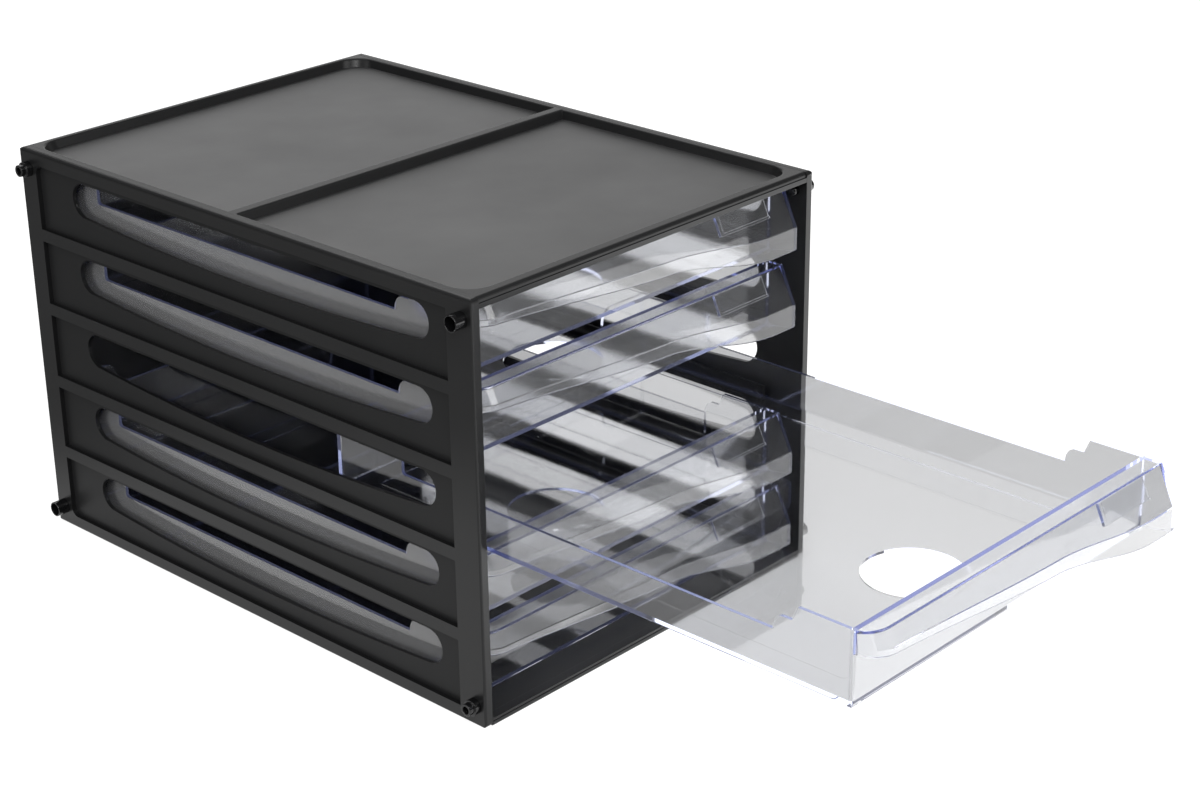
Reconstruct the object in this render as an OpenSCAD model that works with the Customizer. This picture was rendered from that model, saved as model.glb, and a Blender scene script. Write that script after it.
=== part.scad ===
// Five-drawer desktop document tower: black knock-down casing, clear drawers.
// The origin is the middle of the casing's footprint, +Z is up, and the drawers open towards -Y.

/* [Casing] */
// Width over the two side panels
body_w = 280; // [250:1:330]
// Depth of the casing, front edge to back face
body_d = 394; // [350:1:450]
// Thickness of a side panel at its rims
side_t = 5.5; // [4.6:0.1:7]
// Rounding of the long outer edge along the top of a side panel
edge_r = 2.5; // [1:0.1:3.5]
// Rounding of a side panel's upright outer edges
upright_r = 1.5; // [0.8:0.1:2]
// Rounding of the casing's corners, seen from the side
corner_r = 3; // [1:0.1:5]
// Clearance between casing pieces that meet
fit_gap = 0.1; // [0.05:0.01:0.2]

/* [Side panel bays and slots] */
// Thickness left where a side panel is recessed
bay_wall = 2.5; // [1.8:0.1:3.5]
// From the casing's front edge to the bays
bay_front = 19.5; // [16:0.5:26]
// From the bays to the casing's back face
bay_back = 15.5; // [14:0.5:24]
// Height of the rib between two bays
bay_rib = 7.8; // [4:0.1:10]
// Height of a bay's lower edge over its drawer's underside
bay_rise = 1.3; // [0.5:0.1:3]
// Rounding of the outermost rear bay corners
bay_r = 5.5; // [2:0.5:10]
// From the casing's front edge to the slots
slot_front = 35.7; // [28:0.1:60]
// From the slots to the casing's back face
slot_back = 47.5; // [30:0.1:80]
// Height of a slot at its round ends
slot_h = 21.8; // [12:0.1:24]
// How far a slot's lower edge bows down in the middle
slot_bow = 5.7; // [0.5:0.1:7]
// From a bay's upper edge down to its slot
slot_drop = 3.5; // [1.5:0.1:5]

/* [Runners] */
// Thickness of a runner ledge
ledge_t = 2.5; // [1.8:0.1:3.5]
// How far a ledge reaches under its drawer
ledge_under = 4.8; // [3:0.1:8]
// Height of the guide strip that stands on a ledge
guide_h = 8; // [4:0.5:10]
// Thickness of the guide strip
guide_t = 1.6; // [1.2:0.1:2.5]
// Side play between a drawer and a guide strip
guide_play = 0.8; // [0.4:0.1:1.2]
// Height of a drawer's underside over its ledge
slide_gap = 0.3; // [0.2:0.05:0.6]

/* [Top and bottom panels] */
// Height of the top panel, underside of the trays to the rims
top_t = 9; // [8.4:0.1:12]
// Depth of the two tray fields
tray_depth = 7.1; // [4:0.1:7.2]
// Width of the rim along each side, over side panel and top panel
rim_side = 7.8; // [7.4:0.1:12]
// Width of the front rim
rim_front = 8.7; // [8:0.1:14]
// Width of the back rim
rim_back = 5.5; // [4:0.1:10]
// Length of the front tray field
field_front = 187; // [120:1:230]
// Width of the rib between the two fields
field_rib = 7.5; // [4:0.1:15]
// Rounding of the tray fields' outer corners
tray_r = 15; // [4:0.5:30]
// Height of the fascia over the drawers
fascia_h = 6.2; // [5:0.1:8]
// Rounding along the top of the fascia
fascia_r = 3; // [1.5:0.1:4]
// Wall of the hollow front rim
rim_wall = 2; // [1.5:0.1:2.8]
// Thickness of the bottom panel
floor_t = 3.6; // [2.5:0.1:5]
// Gap between the bottom panel and the lowest ledges
floor_gap = 0.4; // [0.3:0.1:1]
// Depth of the lip along the front of the bottom panel
lip_d = 6; // [4:0.5:10]
// Width and depth of the groove along that lip
lip_groove = 0.6; // [0.4:0.1:1]
// Thickness of the back panel
back_t = 2.4; // [1.8:0.1:3.2]
// Bearing of the back panel on each side panel
back_seat = 2.3; // [1.5:0.1:3]

/* [Drawers] */
// Height of a drawer's raised front and corners
drawer_h = 41.5; // [36:0.5:60]
// Height of the low middle of its sides
low_h = 24.7; // [14:0.1:30]
// Thickness of a drawer's walls
drawer_t = 2; // [1.5:0.1:2.6]
// Thickness of a drawer's floor along its border
pan_t = 2; // [1.6:0.1:3]
// Gap between a drawer's side and its side panel
side_gap = 5.75; // [5:0.05:8]
// From the casing's front edge back to the front wall of a closed drawer
drawer_set = 22.2; // [21.5:0.1:26]
// Gap between a closed drawer and the back panel
rear_gap = 4; // [2:0.5:12]
// Free height over a drawer's raised corners
head_clear = 4.5; // [2:0.5:12]
// Free height between the top drawer and the top panel
top_clear = 0.7; // [0.5:0.1:3]
// How far the middle drawer stands open
open_out = 262; // [0:1:300]
// Length of the raised side at the front
front_raise = 34; // [20:1:60]
// Length of the stepped slope behind it
step_l = 15; // [10:0.5:25]
// Length of the raised side at the rear
rear_raise = 54; // [30:1:90]
// Width of a raised rear corner
back_corner = 38; // [20:1:70]
// Height of the middle of the back wall
back_low_h = 26.5; // [14:0.1:30]
// Diameter of the finger hole in the floor
finger_d = 57; // [30:1:80]
// From the front wall to the middle of the finger hole
finger_set = 58; // [45:1:90]
// Width of the floor's thicker border
border_w = 15; // [8:0.5:25]
// Drop of the floor inside that border
border_drop = 0.4; // [0.2:0.1:0.8]
// Width of the stop nib under a front corner
nib_w = 8; // [5:0.5:12]
// Depth of the nib, front to back
nib_d = 3; // [2:0.1:5]
// Height of the nib
nib_h = 1.5; // [0.8:0.1:2]

/* [Front pull] */
// Reach of the pull in front of the drawer's front wall
pull_d = 20.3; // [16:0.1:21]
// Depth of the level strip along its top
strip_d = 9.7; // [6:0.1:12]
// Height of the fold between slope and lip at the deep end
fold_z = 18.5; // [15:0.5:24]
// Lower edge of the lip at the deep end
pull_low = 4; // [2:0.1:8]
// Lower edge of the lip at the shallow end
pull_high = 28.5; // [20:0.5:31]
// Height of the lip at the shallow end
lip_short = 3.5; // [2.5:0.1:6]
// Rounding of the pull's shallow end, in plan
pull_r = 15; // [8:0.5:20]
// Rounding of the folds along the pull
fold_r = 2; // [0.8:0.1:3]

/* [Label holder] */
// Width of the label holder
label_w = 44; // [30:1:60]
// Height of the holder, along the slope
label_h = 12.5; // [10:0.5:17]
// From the drawer's deep end to the holder
label_set = 18.5; // [6:0.5:30]
// Thickness of the holder's plate
label_t = 1.2; // [0.8:0.1:1.6]
// Slit that takes the label card
label_slit = 0.8; // [0.5:0.1:1.2]
// Width of the ledge that closes the slit below
label_edge = 1.4; // [1:0.1:2]
// Width of the rib that closes the slit at its left end
label_end = 2.7; // [1:0.1:4]
// From the top fold down to the holder
label_down = 2; // [1.6:0.1:4]

/* [Link pins] */
// From the casing's front or back to a pin's axis
pin_y = 8; // [7.5:0.1:8.4]
// Gap between a pin's flange and the underside of the top panel
pin_room = 0.2; // [0.1:0.1:4]
// Diameter of a sleeve, and of a plug's collar
sleeve_d = 9.6; // [9.2:0.1:10.5]
// How far a sleeve stands out of the side panel
sleeve_l = 8; // [6:0.5:10]
// Bore of a sleeve
bore_d = 8; // [7.6:0.1:8.4]
// Depth of that bore
bore_l = 7; // [4:0.5:8]
// Length of a plug's collar
collar_l = 4; // [2.5:0.1:6]
// Diameter of a plug's nose
nose_d = 7.4; // [6.6:0.1:7.6]
// Length of a plug's nose
nose_l = 3.2; // [2.5:0.1:5]
// Hole in a plug's nose
nose_hole_d = 4.6; // [3:0.1:5]
// Diameter of the shank that passes the side panel
shank_d = 5.4; // [4:0.1:7]
// Width of the locking flange over the shank
flange_w = 0.5; // [0.3:0.1:1.2]
// Thickness of that flange
flange_t = 1.2; // [0.8:0.1:1.3]
// Chamfer at a pin's mouth or tip
pin_chamfer = 0.6; // [0.3:0.1:0.7]
// Thickness of the ears that the pins hold
ear_t = 3; // [2:0.1:3]
// Half width of an ear
ear_r = 5; // [4.6:0.1:5.2]

/* [Hidden] */

$fn = 48;
drawer_count = 5;
over = 1; // overrun of every cut, and half of it the bite of joined solids
bite = over / 2;
arc_steps = 6;

black = [0.07, 0.07, 0.075];
pin_black = [0.04, 0.04, 0.045];
clear = [0.82, 0.85, 0.92, 0.45];
label_clear = [0.75, 0.8, 0.95, 0.5];

// Heights: the ledges carry the drawers, and the drawers set the casing's height
pitch = drawer_h + head_clear + ledge_t + slide_gap;
first_z = floor_t + floor_gap + ledge_t + slide_gap;
last_z = first_z + (drawer_count - 1) * pitch;
body_h = last_z + drawer_h + top_clear + top_t;
under_z = body_h - top_t;
rim_z = body_h - rim_wall - fascia_r / 2; // ceiling of the hollow front rim
lip_h = first_z - nib_h - slide_gap;
pin_z = top_t + shank_d / 2 + flange_w + pin_room; // from the casing's top or base to a pin's axis
bay_h = pitch - bay_rib;

// Places across and along the casing
half_w = body_w / 2;
inner_x = half_w - side_t;
front_y = -body_d / 2;
back_y = body_d / 2;
plate_w = 2 * (inner_x - fit_gap);
back_front = back_y - back_t;
drawer_w = 2 * (inner_x - side_gap);
drawer_x = drawer_w / 2;
drawer_l = body_d - drawer_set - rear_gap - back_t - fit_gap;
ledge_front = front_y + drawer_set + nib_d + slide_gap;
ledge_back = back_y - pin_y - ear_r - nib_d;
guide_x = drawer_x + guide_play;
ledge_x = drawer_x - ledge_under;

// Drawer 1 is the top one, and bay 0 belongs to the lowest
function drawer_z(number) = first_z + (drawer_count - number) * pitch;
function open_at(number) = number == 3 ? open_out : 0;
function bay_z(level) = first_z + level * pitch + bay_rise;

// Points of an arc round a centre
function arc(centre, r, from, to, steps = arc_steps) =
    [for (i = [0:steps]) centre + r * [cos(from + (to - from) * i / steps), sin(from + (to - from) * i / steps)]];

// Points of a fillet of radius r in the corner b of the path a, b, c
function unit(v) = v / norm(v);
function fillet(a, b, c, r, steps = 3) =
    let (
        p = unit(a - b),
        q = unit(c - b),
        half = acos(p * q) / 2,
        reach = r / tan(half),
        centre = b + unit(p + q) * r / sin(half),
        start = b + p * reach - centre,
        end = b + q * reach - centre,
        sweep = 180 - 2 * half
    )
    [for (i = [0:steps]) centre + (start * sin(sweep * (1 - i / steps)) + end * sin(sweep * i / steps)) / sin(sweep)];

// An outline in Y and Z drawn out along X, and one in X and Z along Y
module along_x(x, length) {
    translate([x, 0, 0])
        rotate([90, 0, 90])
            linear_extrude(length)
                children();
}

module along_y(y, length) {
    translate([0, y + length, 0])
        rotate([90, 0, 0])
            linear_extrude(length)
                children();
}

// A box from its lowest corner to its highest
module box(low, high) {
    translate(low)
        cube(high - low);
}

// A round hole or bar along X
module bar_x(x, y, z, d, length) {
    translate([x, y, z])
        rotate([0, 90, 0])
            cylinder(d = d, h = length);
}

// Side panels, drawn for the right side and mirrored for the left

module side_outline() {
    polygon(concat(
        arc([front_y + corner_r, corner_r], corner_r, 270, 180),
        arc([front_y + fascia_r, body_h - fascia_r], fascia_r, 180, 90),
        arc([back_y - corner_r, body_h - corner_r], corner_r, 90, 0),
        arc([back_y - corner_r, corner_r], corner_r, 0, -90)
    ));
}

module side_section() {
    polygon(concat(
        [[inner_x, 0], [inner_x, body_h]],
        arc([half_w - edge_r, body_h - edge_r], edge_r, 90, 0),
        arc([half_w - upright_r, upright_r], upright_r, 0, -90)
    ));
}

module side_plan() {
    polygon(concat(
        [[inner_x, back_y], [inner_x, front_y]],
        arc([half_w - upright_r, front_y + upright_r], upright_r, -90, 0),
        arc([half_w - upright_r, back_y - upright_r], upright_r, 0, 90)
    ));
}

module bay_outline(level) {
    y0 = front_y + bay_front;
    y1 = back_y - bay_back;
    z0 = bay_z(level);
    z1 = z0 + bay_h;
    low_corner = level == 0 ? arc([y1 - bay_r, z0 + bay_r], bay_r, 270, 360) : [[y1, z0]];
    high_corner = level == drawer_count - 1 ? arc([y1 - bay_r, z1 - bay_r], bay_r, 0, 90) : [[y1, z1]];
    polygon(concat([[y0, z1], [y0, z0]], low_corner, high_corner));
}

// A slot has round ends, a straight upper edge and a lower edge that bows down
module slot_outline(level) {
    r = slot_h / 2;
    y0 = front_y + slot_front + r;
    y1 = back_y - slot_back - r;
    zc = bay_z(level) + bay_h - slot_drop - r;
    chord = y1 - y0;
    bow_r = chord * chord / (8 * slot_bow) + slot_bow / 2;
    bow_half = asin(chord / 2 / bow_r);
    bow_z = zc - r - slot_bow + bow_r;
    polygon(concat(
        arc([y0, zc], r, 90, 270, 2 * arc_steps),
        arc([(y0 + y1) / 2, bow_z], bow_r, 270 - bow_half, 270 + bow_half, 4 * arc_steps),
        arc([y1, zc], r, -90, 90, 2 * arc_steps)
    ));
}

module runner(level) {
    top = first_z + level * pitch - slide_gap;
    box([ledge_x, ledge_front, top - ledge_t], [inner_x + bite, ledge_back, top]);
    box([guide_x, ledge_front, top - ledge_t], [guide_x + guide_t, ledge_back, top + guide_h]);
}

module side_panel() {
    bay_depth = side_t - bay_wall;
    color(black)
        difference() {
            union() {
                intersection() {
                    along_x(inner_x, side_t) side_outline();
                    along_y(front_y, body_d) side_section();
                    linear_extrude(body_h) side_plan();
                }
                for (level = [0:drawer_count - 1])
                    runner(level);
            }
            for (level = [0:drawer_count - 1]) {
                along_x(half_w - bay_depth, bay_depth + over) bay_outline(level);
                along_x(inner_x - bite, side_t + over) slot_outline(level);
            }
            box([inner_x - over, back_front - fit_gap, floor_t], [inner_x + back_seat, back_y + over, under_z]);
            for (y = [front_y + pin_y, back_y - pin_y], z = [pin_z, body_h - pin_z])
                bar_x(inner_x - over, y, z, shank_d + 2 * fit_gap, side_t + 2 * over);
        }
}

// Top, bottom and back panels

// The ear at one corner: a round tab with the pin's hole, which runs from z to the panel at z_join
module ear(side, y, z, z_join) {
    x = side > 0 ? plate_w / 2 - ear_t : -plate_w / 2;
    difference() {
        union() {
            bar_x(x, y, z, 2 * ear_r, ear_t);
            box([x, y - ear_r, min(z, z_join)], [x + ear_t, y + ear_r, max(z, z_join)]);
        }
        bar_x(x - over, y, z, shank_d + 2 * fit_gap, ear_t + 2 * over);
    }
}

module corner_ears(z, z_join) {
    for (side = [-1, 1], y = [front_y + pin_y, back_y - pin_y])
        ear(side, y, z, z_join);
}

// A web ties a front ear to the ceiling of the hollow rim
module rim_web(side) {
    x = side > 0 ? plate_w / 2 - ear_t : -plate_w / 2;
    box(
        [x, front_y + pin_y - ear_r, under_z],
        [x + ear_t, front_y + rim_front - rim_wall + bite, rim_z + bite]
    );
}

// The front rim is a hollow channel, open below; behind it the underside is level
module top_section() {
    fascia_z = body_h - fascia_h;
    rim_y = front_y + rim_front;
    polygon(concat(
        [[front_y, fascia_z]],
        arc([front_y + fascia_r, body_h - fascia_r], fascia_r, 180, 90),
        arc([back_y - corner_r, body_h - corner_r], corner_r, 90, 0),
        [
            [back_y, under_z],
            [rim_y - rim_wall, under_z],
            [rim_y - rim_wall, rim_z],
            [front_y + rim_wall + fascia_r / 2, rim_z],
            [front_y + rim_wall, fascia_z]
        ]
    ));
}

module front_field() {
    x = half_w - rim_side;
    y0 = front_y + rim_front;
    y1 = y0 + field_front;
    polygon(concat(
        arc([-x + tray_r, y0 + tray_r], tray_r, 180, 270),
        arc([x - tray_r, y0 + tray_r], tray_r, 270, 360),
        [[x, y1], [-x, y1]]
    ));
}

module back_field() {
    x = half_w - rim_side;
    y0 = front_y + rim_front + field_front + field_rib;
    y1 = back_y - rim_back;
    polygon(concat(
        [[-x, y0], [x, y0]],
        arc([x - tray_r, y1 - tray_r], tray_r, 0, 90),
        arc([-x + tray_r, y1 - tray_r], tray_r, 90, 180)
    ));
}

module top_panel() {
    tray_z = body_h - tray_depth;
    color(black) {
        difference() {
            along_x(-plate_w / 2, plate_w) top_section();
            translate([0, 0, tray_z])
                linear_extrude(tray_depth + over) front_field();
            translate([0, 0, tray_z])
                linear_extrude(tray_depth + over) back_field();
        }
        corner_ears(body_h - pin_z, under_z + (top_t - tray_depth) / 2);
        rim_web(-1);
        rim_web(1);
    }
}

module bottom_section() {
    groove_z = (lip_h + lip_groove) / 2;
    groove_r = lip_groove / 2;
    polygon(concat(
        [[front_y, lip_groove], [front_y, groove_z]],
        [[front_y + lip_groove, groove_z], [front_y + lip_groove, groove_z + lip_groove]],
        [[front_y, groove_z + lip_groove], [front_y, lip_h - groove_r], [front_y + groove_r, lip_h]],
        [[front_y + lip_d, lip_h], [front_y + lip_d, floor_t], [back_y, floor_t]],
        [[back_y, 0], [front_y + lip_groove, 0]]
    ));
}

module bottom_panel() {
    color(black) {
        along_x(-plate_w / 2, plate_w) bottom_section();
        corner_ears(pin_z, floor_t / 2);
    }
}

module back_panel() {
    x = inner_x + back_seat - fit_gap;
    color(black)
        box([-x, back_front, floor_t + fit_gap], [x, back_y, under_z - fit_gap]);
}

// Link pins, drawn along +X from the outer face of a side panel at x = 0

module pin_shank() {
    shank_l = side_t + fit_gap + ear_t + fit_gap;
    rotate([0, -90, 0])
        translate([0, 0, -bite])
            cylinder(d = shank_d, h = shank_l + bite + flange_t / 2);
    translate([-shank_l, 0, 0])
        rotate([0, -90, 0])
            cylinder(d1 = shank_d + 2 * flange_w, d2 = shank_d, h = flange_t);
}

module link_sleeve() {
    difference() {
        rotate([0, 90, 0])
            union() {
                cylinder(d = sleeve_d, h = sleeve_l - pin_chamfer / 2);
                translate([0, 0, sleeve_l - pin_chamfer / 2])
                    cylinder(d1 = sleeve_d, d2 = sleeve_d - pin_chamfer, h = pin_chamfer / 2);
            }
        bar_x(sleeve_l - bore_l, 0, 0, bore_d, bore_l + over);
    }
    pin_shank();
}

module link_plug() {
    difference() {
        rotate([0, 90, 0])
            union() {
                cylinder(d = sleeve_d, h = collar_l);
                cylinder(d = nose_d, h = collar_l + nose_l - pin_chamfer);
                translate([0, 0, collar_l + nose_l - pin_chamfer])
                    cylinder(d1 = nose_d, d2 = nose_d - 2 * pin_chamfer, h = pin_chamfer);
            }
        bar_x(collar_l / 2, 0, 0, nose_hole_d, collar_l + nose_l);
    }
    pin_shank();
}

// Puts a pin on one corner: side -1 or 1, top and back true or false
module at_corner(side, top, back) {
    y = back ? back_y - pin_y : front_y + pin_y;
    z = top ? body_h - pin_z : pin_z;
    color(pin_black)
        translate([side * half_w, y, z])
            rotate([0, 0, side > 0 ? 0 : 180])
                children();
}

// Drawers, drawn with the outer face of the front wall at y = 0 and the underside at z = 0

// Shape of one side: raised front, stepped slope, low middle, raised rear
flat_z_share = 0.52;   // height of the small flat in the slope, between low and raised
slope_y_share = 0.22;  // lengths of the slope, the flat and the quarter round behind it
flat_y_share = 0.6;

module side_wall() {
    flat_h = low_h + (drawer_h - low_h) * flat_z_share;
    y1 = front_raise;
    y2 = y1 + step_l * slope_y_share;
    y3 = y1 + step_l * flat_y_share;
    y4 = y1 + step_l;
    y5 = drawer_l - rear_raise;
    quarter = y4 - y3;
    polygon(concat(
        [[0, 0], [0, drawer_h]],
        fillet([0, drawer_h], [y1, drawer_h], [y2, flat_h], fold_r / 2),
        fillet([y1, drawer_h], [y2, flat_h], [y3, flat_h], fold_r / 2),
        [for (a = [0:15:75]) [y3 + quarter * sin(a), low_h + (flat_h - low_h) * cos(a)]],
        [[y4, low_h], [y5 - fold_r, low_h]],
        arc([y5 - fold_r, low_h + fold_r], fold_r, 270, 360),
        arc([y5 + fold_r, drawer_h - fold_r], fold_r, 180, 90),
        [[drawer_l, drawer_h], [drawer_l, 0]]
    ));
}

// Shape of the back wall: two raised corners and a scooped middle
module back_wall() {
    x0 = drawer_x - back_corner;
    r = (drawer_h - back_low_h) / 2;
    polygon(concat(
        [[-drawer_x, 0], [-drawer_x, drawer_h]],
        arc([-x0 - r, drawer_h - r], r, 90, 0),
        arc([-x0 + r, back_low_h + r], r, 180, 270),
        arc([x0 - r, back_low_h + r], r, 270, 360),
        arc([x0 + r, drawer_h - r], r, 180, 90),
        [[drawer_x, drawer_h], [drawer_x, 0]]
    ));
}

// Slope of the pull's face: how far it comes forward for each unit down
face_slope = (pull_d - strip_d) / (drawer_h - fold_z);
face_stretch = sqrt(1 + face_slope * face_slope);
face_angle = atan(face_slope);

// Lower edge of the lip: a gentle fall over the shallow end, then a steeper wave
wave_x_shares = [0, 0.578, 0.927];  // places of the wave's knots along the drawer's width
wave_z_shares = [1, 0.571, 0];      // heights there, from the deep end's edge to the shallow end's
wave_fall_shares = [0.15, 0.225, 0]; // fall at the knots, over the stretch between the first two

function hermite(a, b, fall_a, fall_b, t) =
    a * (1 + t * t * (2 * t - 3)) + b * t * t * (3 - 2 * t)
    - fall_a * t * (1 - t) * (1 - t) + fall_b * t * t * (1 - t);

function wave_share(u) =
    let (
        k = u < wave_x_shares[1] ? 0 : 1,
        span = wave_x_shares[k + 1] - wave_x_shares[k],
        t = min(1, (u - wave_x_shares[k]) / span),
        stretch = span / wave_x_shares[1]
    )
    hermite(wave_z_shares[k], wave_z_shares[k + 1],
        wave_fall_shares[k] * stretch, wave_fall_shares[k + 1] * stretch, t);

function low_z(u) = pull_low + (pull_high - pull_low) * wave_share(u);
function lip_at(u) = fold_z - pull_low + (lip_short - fold_z + pull_low) * wave_share(u);

// Outer and inner paths of the pull's section at u, forward distance against height
function outer_path(u) =
    let (
        z = low_z(u),
        zf = z + lip_at(u),
        f = strip_d + (drawer_h - zf) * face_slope
    )
    concat(
        [[-bite, drawer_h]],
        fillet([-bite, drawer_h], [strip_d, drawer_h], [f, zf], fold_r),
        fillet([strip_d, drawer_h], [f, zf], [f, z], fold_r),
        [[f, z]]
    );

function inner_path(u) =
    let (
        z = low_z(u),
        zf = z + lip_at(u),
        f = strip_d + (drawer_h - zf) * face_slope,
        top = drawer_h - drawer_t,
        f_top = strip_d + drawer_t * (face_slope - face_stretch),
        z_fold = zf - drawer_t * (face_stretch - 1) / face_slope
    )
    concat(
        [[-bite, top]],
        fillet([-bite, top], [f_top, top], [f - drawer_t, z_fold], fold_r / 2),
        fillet([f_top, top], [f - drawer_t, z_fold], [f - drawer_t, z], fold_r / 2),
        [[f - drawer_t, z]]
    );

// Stations along the pull: a quarter round at the shallow end, then even steps
round_turns = [2, 12, 24, 36, 48, 60, 75, 90];
even_steps = 22;
pull_x0 = -drawer_x + pull_r;
pull_x1 = drawer_x - drawer_t / 2;

// One ring of points at x, with the forward distances drawn in by the turn of the quarter round
function ring(path, x, turn) = [for (p = path) [x, bite - (p[0] + bite) * sin(turn), p[1]]];
function share_at(x) = (x + drawer_x) / drawer_w;
function pull_rings(inner) =
    let (r = inner ? pull_r - drawer_t : pull_r)
    concat(
        [for (turn = round_turns)
            let (x = pull_x0 - r * cos(turn), u = share_at(x))
            ring(inner ? inner_path(u) : outer_path(u), x, turn)],
        [for (i = [1:even_steps])
            let (x = pull_x0 + (pull_x1 - pull_x0) * i / even_steps, u = share_at(x))
            ring(inner ? inner_path(u) : outer_path(u), x, 90)]
    );

function flat_list(list) = [for (row = list, item = row) item];
function quad(a, b, c, d) = [[a, b, c], [a, c, d]];

// The pull's skin: an outer and an inner sheet, joined all round
module pull_skin() {
    outer = pull_rings(false);
    inner = pull_rings(true);
    rows = len(outer);
    cols = len(outer[0]);
    shift = rows * cols;
    sheet = [for (i = [0:rows - 2], j = [0:cols - 2])
        quad(i * cols + j, (i + 1) * cols + j, (i + 1) * cols + j + 1, i * cols + j + 1)];
    under = [for (i = [0:rows - 2], j = [0:cols - 2])
        quad(shift + i * cols + j, shift + i * cols + j + 1,
            shift + (i + 1) * cols + j + 1, shift + (i + 1) * cols + j)];
    ends = [for (j = [0:cols - 2], i = [0, rows - 1])
        i == 0
            ? quad(j, j + 1, shift + j + 1, shift + j)
            : quad(i * cols + j, shift + i * cols + j, shift + i * cols + j + 1, i * cols + j + 1)];
    edges = [for (i = [0:rows - 2], j = [0, cols - 1])
        j == 0
            ? quad(i * cols, shift + i * cols, shift + (i + 1) * cols, (i + 1) * cols)
            : quad(i * cols + j, (i + 1) * cols + j, shift + (i + 1) * cols + j, shift + i * cols + j)];
    polyhedron(
        points = concat(flat_list(outer), flat_list(inner)),
        faces = flat_list(concat(sheet, under, ends, edges))
    );
}

// The plate that closes the pull's deep end, in line with the drawer's side
module pull_end() {
    along_x(drawer_x - drawer_t, drawer_t)
        polygon([for (p = concat(
            [[-bite, 0], [-bite, drawer_h]],
            fillet([0, drawer_h], [strip_d, drawer_h], [pull_d, fold_z], fold_r),
            fillet([strip_d, drawer_h], [pull_d, fold_z], [pull_d, pull_low], fold_r),
            fillet([pull_d, fold_z], [pull_d, pull_low], [0, 0], fold_r)
        )) [-p[0], p[1]]]);
}

// A stop nib: it meets the front end of the ledge when the drawer is shut
module nib(x) {
    r = nib_h;
    along_y(0, nib_d)
        polygon(concat(
            [[x, bite]],
            arc([x + r, 0], r, 180, 270),
            arc([x + nib_w - r, 0], r, 270, 360),
            [[x + nib_w, bite]]
        ));
}

module drawer_shell() {
    difference() {
        union() {
            box([-drawer_x, 0, 0], [drawer_x, drawer_l, pan_t]);
            box([-drawer_x, 0, 0], [drawer_x, drawer_t, drawer_h]);
            along_x(-drawer_x, drawer_t) side_wall();
            along_x(drawer_x - drawer_t, drawer_t) side_wall();
            along_y(drawer_l - drawer_t, drawer_t) back_wall();
        }
        translate([0, finger_set, -over])
            cylinder(d = finger_d, h = pan_t + 2 * over, $fn = 96);
        box(
            [-drawer_x + drawer_t + border_w, drawer_t + border_w, pan_t - border_drop],
            [drawer_x - drawer_t - border_w, drawer_l - drawer_t - border_w, pan_t + over]
        );
    }
    pull_end();
    nib(-drawer_x);
    nib(drawer_x - nib_w);
    pull_skin();
}

// The label holder: a plate behind the sloped face, with a ledge below and a rib at its left end
module label_plate() {
    depth = drawer_t + label_slit;
    x0 = drawer_x - label_set - label_w;
    translate([x0, -strip_d, drawer_h])
        rotate([-face_angle, 0, 0]) {
            box([0, depth, -label_down - label_h], [label_w, depth + label_t, -label_down]);
            box(
                [0, drawer_t + fit_gap, -label_down - label_h],
                [label_w, depth + label_t, -label_down - label_h + label_edge]
            );
            box(
                [0, drawer_t + fit_gap, -label_down - label_h],
                [label_end, depth + label_t, -label_down]
            );
        }
}

module place_drawer(number) {
    translate([0, front_y + drawer_set - open_at(number), drawer_z(number)])
        children();
}

module drawer(number) {
    color(clear)
        place_drawer(number)
            drawer_shell();
}

module label_holder(number) {
    color(label_clear)
        place_drawer(number)
            label_plate();
}

mirror([1, 0, 0]) side_panel();  // side_panel_left
side_panel();  // side_panel_right
top_panel();
bottom_panel();
back_panel();
at_corner(-1, true, false) link_sleeve();  // sleeve_left_top_front
at_corner(-1, false, true) link_sleeve();  // sleeve_left_bottom_back
at_corner(1, false, false) link_sleeve();  // sleeve_right_bottom_front
at_corner(1, true, true) link_sleeve();  // sleeve_right_top_back
at_corner(-1, false, false) link_plug();  // plug_left_bottom_front
at_corner(-1, true, true) link_plug();  // plug_left_top_back
at_corner(1, true, false) link_plug();  // plug_right_top_front
at_corner(1, false, true) link_plug();  // plug_right_bottom_back
drawer(1);  // drawer_1
drawer(2);  // drawer_2
drawer(3);  // drawer_3
drawer(4);  // drawer_4
drawer(5);  // drawer_5
label_holder(1);  // label_holder_1
label_holder(2);  // label_holder_2
label_holder(3);  // label_holder_3
label_holder(4);  // label_holder_4
label_holder(5);  // label_holder_5
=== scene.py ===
import bpy
from math import atan, atan2, cos, pi, radians, sin, tan
from mathutils import Matrix, Vector


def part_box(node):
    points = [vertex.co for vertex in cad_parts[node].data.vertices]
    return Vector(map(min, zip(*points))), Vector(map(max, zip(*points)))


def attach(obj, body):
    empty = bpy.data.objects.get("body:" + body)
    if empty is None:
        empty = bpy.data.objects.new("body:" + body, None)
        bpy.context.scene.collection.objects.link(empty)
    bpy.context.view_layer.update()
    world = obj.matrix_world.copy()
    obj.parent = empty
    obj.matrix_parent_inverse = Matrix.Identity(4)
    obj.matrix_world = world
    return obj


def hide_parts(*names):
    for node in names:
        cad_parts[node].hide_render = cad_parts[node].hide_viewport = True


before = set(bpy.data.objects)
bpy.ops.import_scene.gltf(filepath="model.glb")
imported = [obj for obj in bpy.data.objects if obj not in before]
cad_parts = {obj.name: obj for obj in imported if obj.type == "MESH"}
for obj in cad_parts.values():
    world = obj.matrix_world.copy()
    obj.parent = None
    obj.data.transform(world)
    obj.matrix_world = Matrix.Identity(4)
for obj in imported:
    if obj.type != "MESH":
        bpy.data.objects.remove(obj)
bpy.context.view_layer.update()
mm = 0.001
weld = 0.002 * mm  # points closer than this are joined
same = 0.01 * mm  # places closer than this lie in one plane
touch = 0.1 * mm  # how far a face may lie from the plane that it is picked by
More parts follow.
